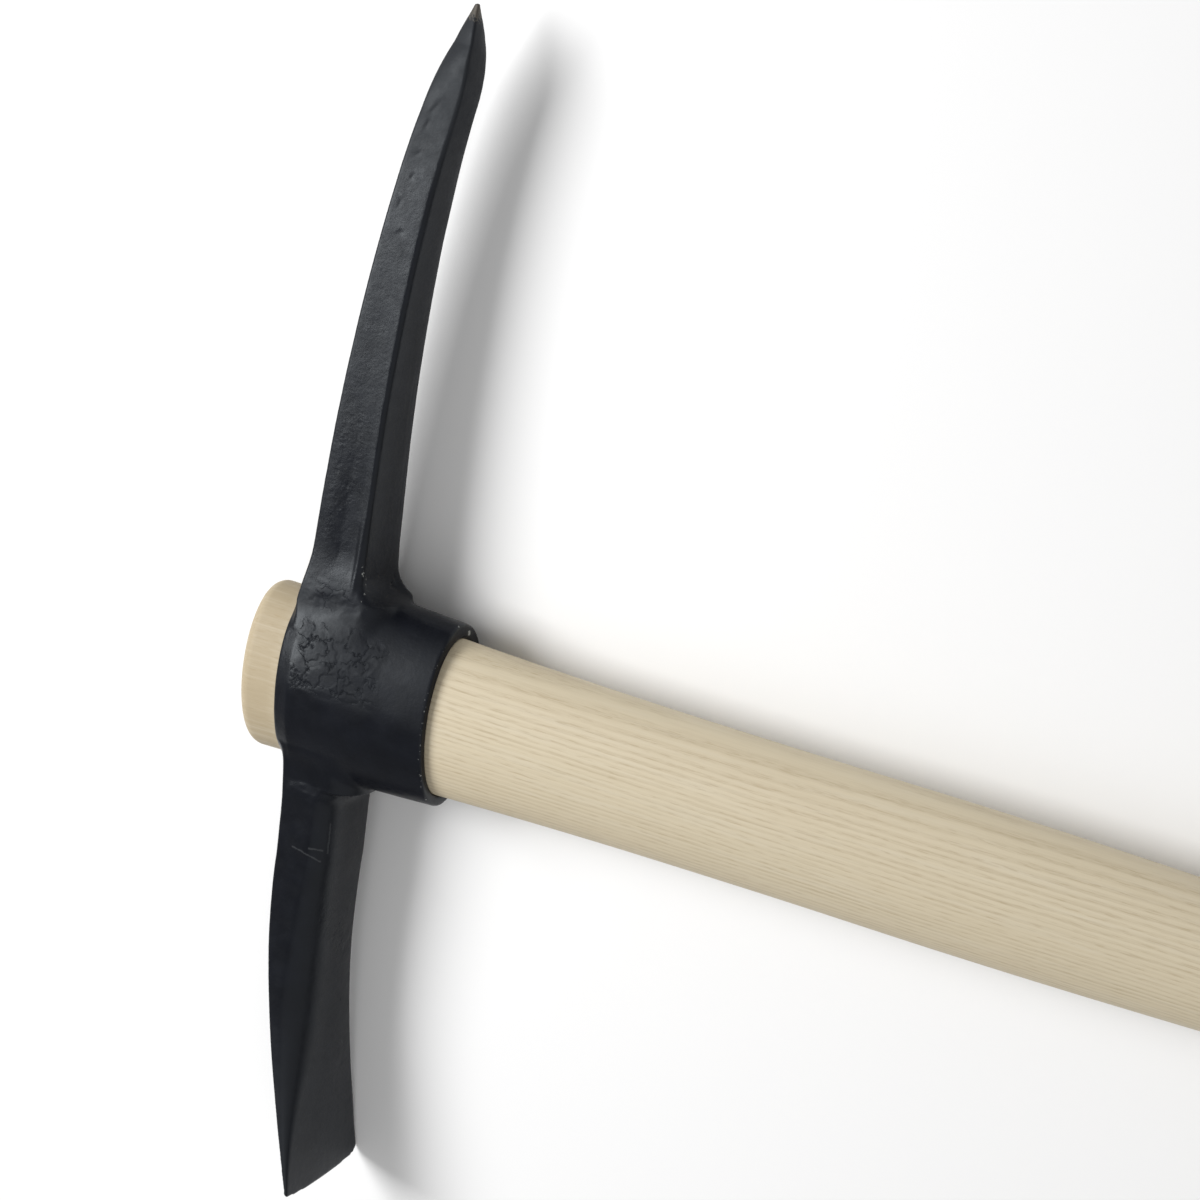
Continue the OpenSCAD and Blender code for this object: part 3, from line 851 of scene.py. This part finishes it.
def handle_tree(material):
    """A turned handle: oval in the eye, easing through its waist into the round grip."""
    lengths = (
        "Start", "Length", "Centre Y", "Centre Z", "Eye back", "Eye taper", "Fit major", "Fit minor",
        "Neck slope", "Waist", "Waist major", "Waist minor", "Grip", "Grip radius", "Crown round",
        "Butt round", "Unevenness",
    )
    tree, t, out = tree_of("Turned handle", "GeometryNodeTree", [
        *((label, "NodeSocketFloat", 0.0) for label in lengths),
        ("Rings", "NodeSocketInt", 240), ("Around", "NodeSocketInt", 121),
    ], (("Geometry", "NodeSocketGeometry"),))
    grid = node(tree, "GeometryNodeMeshGrid", {
        "Size X": 1.0, "Size Y": 1.0, "Vertices X": t["Rings"], "Vertices Y": t["Around"],
    })
    where = node(tree, "GeometryNodeInputPosition").outputs[0]
    parts = node(tree, "ShaderNodeSeparateXYZ", {0: where}).outputs
    # The first and last rings close the ends, and the others crowd towards them
    ring = (Term(tree, parts[0]) + 0.5) * (t["Rings"] - 1.0)
    ahead = (t["Rings"] - 1.0) - ring
    closed = ring.do("MINIMUM", ahead).do("MINIMUM", 1.0)
    share = ((ring - 1.0) / (t["Rings"] - 3.0)).clamp(0.0, 1.0)
    x = (share - (share * math.tau).do("SINE") * (END_CROWDING / math.tau)) * t["Length"]

    def level_curve(a, b, start, end, fall=None):
        """Curve from a to b that ends level, and starts level or with a fall."""
        s = ((x - start) / (end - start)).clamp(0.0, 1.0)
        curve = a + (b - a) * s * s * (3.0 - s * 2.0)
        if fall is None:
            return curve
        rest = 1.0 - s
        return curve - fall * (end - start) * s * rest * rest

    def half(fit, waist, fall=None):
        """Half width of the handle along its length."""
        eye = fit + (t["Eye back"] - x).do("MAXIMUM", 0.0) * t["Eye taper"]
        neck = level_curve(eye, waist, t["Eye back"], t["Waist"], fall)
        return level_curve(neck, t["Grip radius"], t["Waist"], t["Grip"])

    def lost(radius, way):
        """Half width lost to the rounding of an end."""
        short = (radius - way).clamp(0.0, radius)
        return radius - (radius * radius - short * short).do("MAXIMUM", 0.0).do("SQRT")

    cut = lost(t["Crown round"], x) + lost(t["Butt round"], t["Length"] - x)
    angle = (Term(tree, parts[1]) + 0.5) * math.tau
    major = (half(t["Fit major"], t["Waist major"], t["Neck slope"]) - cut) * closed
    minor = (half(t["Fit minor"], t["Waist minor"]) - cut) * closed
    place = node(tree, "ShaderNodeCombineXYZ", {
        0: x + t["Start"],
        1: major * angle.do("COSINE") + t["Centre Y"],
        2: minor * angle.do("SINE") + t["Centre Z"],
    }).outputs[0]
    shaped = node(tree, "GeometryNodeSetPosition", {"Geometry": grid.outputs["Mesh"], "Position": place})
    welded = node(tree, "GeometryNodeMergeByDistance", {"Geometry": shaped.outputs[0], "Distance": 1e-6})
    sanding = (stretched_noise(tree, where, 14.0, 60.0) - 0.5) * t["Unevenness"] * 2.0
    sanded = raised(tree, welded.outputs[0], sanding)
    smooth = node(tree, "GeometryNodeSetShadeSmooth", {"Geometry": sanded})
    close_tree(tree, out, smooth.outputs[0], material)
    return tree


def shown(name, data):
    """A new object in the scene."""
    made = bpy.data.objects.new(name, data)
    bpy.context.scene.collection.objects.link(made)
    return made


def aimed(name, data, place, aim, roll=0.0):
    """A lamp or camera at one place that looks at another."""
    at, to = Vector(spot(*place)), Vector(spot(*aim))
    turn = (to - at).to_track_quat("-Z", "Y") @ Quaternion((0.0, 0.0, 1.0), roll)
    made = shown(name, data)
    made.matrix_world = Matrix.Translation(at) @ turn.to_matrix().to_4x4()
    return made


def add_tree(piece, tree, values):
    """Adds a node modifier with its inputs set by their identifiers."""
    modifier = piece.modifiers.new(tree.name, "NODES")
    modifier.node_group = tree
    for item in tree.interface.items_tree:
        if item.item_type == "SOCKET" and item.in_out == "INPUT" and item.name in values:
            modifier[item.identifier] = values[item.name]


def settle(piece):
    """Turns a piece with modifiers into a plain mesh."""
    graph = bpy.context.evaluated_depsgraph_get()
    mesh = bpy.data.meshes.new_from_object(piece.evaluated_get(graph))
    if not mesh.polygons:
        raise RuntimeError(f"{piece.name} came out empty")
    mesh.name = piece.name
    piece.modifiers.clear()
    piece.data = mesh
    return mesh


# Settings, operators and panel


def size_prop(name, description, default):
    """A setting for a length in metres."""
    return FloatProperty(
        name=name, description=description, default=default, min=0.0, unit="LENGTH", precision=5)


def colour_prop(name, description, default):
    """A setting for a colour."""
    return FloatVectorProperty(
        name=name, description=description, default=default, subtype="COLOR", size=3, min=0.0, max=1.0)


class HeadSettings(bpy.types.PropertyGroup):
    """Sizes of the head"""
    pick_reach: size_prop(
        "Pick reach", "From the handle's centre line to the point", HEAD_HIGH.y - ORIGIN.y)
    blade_reach: size_prop(
        "Blade reach", "From the handle's centre line to the edge", ORIGIN.y - HEAD_LOW.y)
    edge_width: size_prop("Edge width", "Width of the cutting edge", HEAD_HIGH.z - HEAD_LOW.z)
    eye_length: size_prop("Eye length", "Length of the eye along the handle", HEAD_HIGH.x - HEAD_LOW.x)
    pick_depth: size_prop("Pick depth", "Depth of the pick arm at the eye", 0.0252)
    pick_width: size_prop("Pick width", "Width of the pick arm at the eye", 0.029)
    blade_depth: size_prop("Blade depth", "Depth of the blade arm at its neck", 0.0228)
    blade_width: size_prop("Blade width", "Width of the blade arm at its neck", 0.0336)
    ridge_round: size_prop("Ridge rounding", "Rounding of the long ridges", 0.0013)
    panel_depth: size_prop("Panel depth", "Depth of the hollow in the pick's sides", 0.00065)
    wave_depth: size_prop("Wave depth", "Height of the hammer's long waves", 0.00016)
    skin_depth: size_prop("Skin depth", "Height of the fine forging skin", 0.00004)
    pit_depth: size_prop("Pit depth", "Depth of the scale pits", 0.00016)
    plate_depth: size_prop("Plate depth", "Height of the broken scale on the cheeks", 0.00013)
    crack_depth: size_prop("Crack depth", "Depth of the cracks between the scale", 0.0003)
    step: size_prop("Mesh step", "Spacing of the grid that the skin is laid on", 0.0005)
    triangles: IntProperty(
        name="Triangles", description="Most triangles of the finished head", default=190000)


class HandleSettings(bpy.types.PropertyGroup):
    """Sizes of the handle"""
    waist_distance: size_prop("Waist distance", "From the eye's grip face to the waist", 0.195)
    waist_major: size_prop("Waist major", "Long width of the waist", 0.059)
    waist_minor: size_prop("Waist minor", "Short width of the waist", 0.0375)
    grip_diameter: size_prop("Grip diameter", "Diameter of the round grip", 0.038)
    grip_length: size_prop("Grip length", "Length of the round grip", 0.265)
    crown_round: size_prop("Crown rounding", "Rounding of the crown end", 0.006)
    butt_round: size_prop("Butt rounding", "Rounding of the butt end", 0.006)
    unevenness: size_prop("Unevenness", "Height of the marks left by sanding", 0.00008)


class FinishSettings(bpy.types.PropertyGroup):
    """Colours of the head and the handle"""
    lacquer_dark: colour_prop("Lacquer, dark", "Darkest tone of the lacquer", (0.0023, 0.0028, 0.0052))
    lacquer_light: colour_prop("Lacquer, light", "Lightest tone of the lacquer", (0.0038, 0.0046, 0.0080))
    lacquer_rub_and_sheen: colour_prop("Lacquer, rubbed and sheen", "Lacquer lightened by rubbing and by painted sheen", (0.024, 0.026, 0.030))
    scratch: colour_prop("Scratch", "Light scratches in the lacquer", (0.14, 0.145, 0.15))
    chip: colour_prop("Chip", "Ground under chipped lacquer", (0.34, 0.345, 0.33))
    steel: colour_prop("Bare steel", "Steel where the lacquer has gone", (0.16, 0.147, 0.13))
    steel_dark: colour_prop("Bare steel, dark", "Steel that has dulled", (0.07, 0.063, 0.055))
    ash_pale: colour_prop("Ash, pale", "Wood between the growth lines", (0.615, 0.537, 0.39))
    ash_line: colour_prop("Ash, line", "Growth lines", (0.44, 0.365, 0.245))
    ash_warm: colour_prop("Ash, warm", "Warmer patches", (0.585, 0.487, 0.34))
    ash_silk: colour_prop("Ash, silk", "Paler streaks along the fibres", (0.64, 0.582, 0.46))
    ash_crown: colour_prop("Ash, crown", "Wood of the crown end, which is darker", (0.415, 0.342, 0.228))
    ash_pore: colour_prop("Ash, pores", "Open pores in the growth lines", (0.38, 0.29, 0.17))
    ring_spacing: size_prop("Ring spacing", "Distance between growth lines at the centre line", 0.0022)
    ring_widening: FloatProperty(
        name="Ring widening", description="Widening of the rings per metre", default=13.0)


class StageSettings(bpy.types.PropertyGroup):
    """Camera, floor and light"""
    lens: FloatProperty(name="Lens", description="Focal length of the camera in millimetres", default=90.0)
    floor: colour_prop("Floor", "Colour of the floor", (0.93, 0.93, 0.93))
    world: FloatProperty(
        name="World", description="Strength of the even light from all round", default=0.32)
    key: FloatProperty(
        name="Key", description="Power of the large soft lamp", default=20.5, unit="POWER")
    fill: FloatProperty(
        name="Fill", description="Power of the weak lamp opposite", default=8.5, unit="POWER")


class PICKAXE_OT_head(bpy.types.Operator):
    """Forges the head on the place of its solid"""
    bl_idname = "pickaxe.head"
    bl_label = "Forged head"

    def execute(self, context):
        settings, finish = context.scene.pick_head_settings, context.scene.pick_finish_settings
        m = head_measures(settings)
        fine = settings.step / MM * 1.0
        # The grid is coarser along the arms, and its margin keeps the flat faces off its planes
        step, margin = (fine, fine * 1.4, fine), 2.17
        low = (m.front - margin, -m.blade_reach - margin, -m.edge_width / 2 - margin)
        high = (m.back + margin, m.pick_reach + margin, m.edge_width / 2 + margin)
        field = sampled(lambda x, y, z: head_field(m, x, y, z), low, high, step)
        points, quads = surface_net(field, low, step)
        mesh = plain_mesh("forged_head", points * MM + np.array(ORIGIN), quads)
        where, normals = place_of(mesh), facing(mesh)
        moved = (where + normals * forging_folds(m, where, normals)[:, None]) * MM + np.array(ORIGIN)
        mesh.vertices.foreach_set("co", moved.astype(np.float32).ravel())
        mesh.update()
        where = place_of(mesh)
        set_masks(mesh, pits=pit_mask(m, where), plates=plate_mask(m, where))
        piece = shown("forged_head", mesh)
        material = lacquer_material(finish, shared_group("Mottle"), shared_group("Scratch"))
        add_tree(piece, forging_skin_tree(material), {
            "Wave depth": settings.wave_depth, "Skin depth": settings.skin_depth,
            "Pit depth": settings.pit_depth, "Plate depth": settings.plate_depth,
            "Crack depth": settings.crack_depth,
        })
        thin = piece.modifiers.new("Thin", "DECIMATE")
        thin.ratio = min(1.0, settings.triangles / (2 * len(quads)))
        mesh = settle(piece)
        where = place_of(mesh)
        set_masks(
            mesh, pits=pit_mask(m, where), plates=plate_mask(m, where), wear=wear_mask(where),
            flakes=flake_mask(m, where), dull=dull_mask(where), scuffs=rub_and_sheen_mask(where, facing(mesh)),
        )
        mesh.polygons.foreach_set("use_smooth", np.ones(len(mesh.polygons), bool))
        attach(piece, "head")
        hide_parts("pick_head")
        return {"FINISHED"}


class PICKAXE_OT_handle(bpy.types.Operator):
    """Turns the ash handle on the place of its solid"""
    bl_idname = "pickaxe.handle"
    bl_label = "Ash handle"

    def execute(self, context):
        sizes, finish = context.scene.pick_handle_settings, context.scene.pick_finish_settings
        m = head_measures(context.scene.pick_head_settings)
        length = SHAFT_HIGH.x - SHAFT_LOW.x
        back = ORIGIN.x + m.back * MM - SHAFT_LOW.x
        piece = shown("ash_handle", bpy.data.meshes.new("ash_handle"))
        add_tree(piece, handle_tree(ash_material(finish, shared_group("Mottle"))), {
            "Start": SHAFT_LOW.x, "Length": length, "Centre Y": ORIGIN.y, "Centre Z": ORIGIN.z,
            "Eye back": back, "Eye taper": m.taper,
            "Fit major": (m.back_major - FIT_GAP) * MM, "Fit minor": (m.back_minor - FIT_GAP) * MM,
            "Neck slope": NECK_FALL, "Waist": back + sizes.waist_distance,
            "Waist major": sizes.waist_major / 2, "Waist minor": sizes.waist_minor / 2,
            "Grip": length - sizes.grip_length, "Grip radius": sizes.grip_diameter / 2,
            "Crown round": sizes.crown_round, "Butt round": sizes.butt_round,
            "Unevenness": sizes.unevenness,
        })
        settle(piece)
        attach(piece, "handle")
        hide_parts("handle")
        return {"FINISHED"}


class PICKAXE_OT_stage(bpy.types.Operator):
    """Sets the floor, the lamps and the camera"""
    bl_idname = "pickaxe.stage"
    bl_label = "Studio stage"

    def execute(self, context):
        scene, sizes = context.scene, context.scene.pick_stage_settings
        scene.view_settings.view_transform = "Standard"
        world = bpy.data.worlds.new("studio")
        world.use_nodes = True
        sky = world.node_tree.nodes["Background"]
        sky.inputs["Color"].default_value = (1.0, 1.0, 1.0, 1.0)
        sky.inputs["Strength"].default_value = sizes.world
        scene.world = world
        corners = np.array([(-1, -1, 0), (1, -1, 0), (1, 1, 0), (-1, 1, 0)]) * FLOOR_REACH
        floor = shown("floor", plain_mesh("floor", corners, np.array([[0, 1, 2, 3]])))
        material, _, shader, _ = new_material("floor")
        shader.inputs["Base Color"].default_value = (*sizes.floor, 1.0)
        shader.inputs["Roughness"].default_value = 0.9
        shader.inputs["Specular IOR Level"].default_value = 0.0
        floor.data.materials.append(material)
        for name, place, aim, size, power in (
            ("key", KEY_PLACE, KEY_AIM, KEY_SIZE, sizes.key),
            ("fill", FILL_PLACE, FILL_AIM, FILL_SIZE, sizes.fill),
        ):
            lamp = bpy.data.lights.new(name, "AREA")
            lamp.shape, lamp.size, lamp.size_y, lamp.energy = "RECTANGLE", size, size, power
            aimed(name, lamp, place, aim)
        lens = bpy.data.cameras.new("camera")
        lens.lens, lens.sensor_width, lens.clip_start, lens.clip_end = sizes.lens, 36.0, 0.05, 50.0
        scene.camera = aimed("camera", lens, CAMERA_PLACE, CAMERA_AIM, CAMERA_ROLL)
        return {"FINISHED"}


class PICKAXE_PT_panel(bpy.types.Panel):
    """Lists the pieces of the pick axe"""
    bl_idname = "PICKAXE_PT_panel"
    bl_label = "Pick Axe"
    bl_space_type = "VIEW_3D"
    bl_region_type = "UI"
    bl_category = "Pick Axe"

    def draw(self, context):
        for kind in STEPS:
            self.layout.operator(kind.bl_idname)
        for name in SETTINGS:
            box = self.layout.box()
            for prop in getattr(context.scene, name).bl_rna.properties:
                if not prop.is_readonly and prop.identifier != "name":
                    box.prop(getattr(context.scene, name), prop.identifier)


STEPS = (PICKAXE_OT_head, PICKAXE_OT_handle, PICKAXE_OT_stage)
SETTINGS = {
    "pick_head_settings": HeadSettings, "pick_handle_settings": HandleSettings,
    "pick_finish_settings": FinishSettings, "pick_stage_settings": StageSettings,
}
GROUPS = {"Mottle": mottle_group, "Scratch": scratch_group}


def shared_group(name):
    """A shader group that is built once and then used again."""
    return bpy.data.node_groups.get(name) or GROUPS[name]()


def register():
    for kind in (*SETTINGS.values(), *STEPS, PICKAXE_PT_panel):
        bpy.utils.register_class(kind)
    for name, kind in SETTINGS.items():
        setattr(bpy.types.Scene, name, PointerProperty(type=kind))


def unregister():
    for name in SETTINGS:
        delattr(bpy.types.Scene, name)
    for kind in (PICKAXE_PT_panel, *reversed(STEPS), *SETTINGS.values()):
        bpy.utils.unregister_class(kind)


def main():
    register()
    bpy.ops.pickaxe.head()
    bpy.ops.pickaxe.handle()
    bpy.ops.pickaxe.stage()


if __name__ == "__main__":
    main()
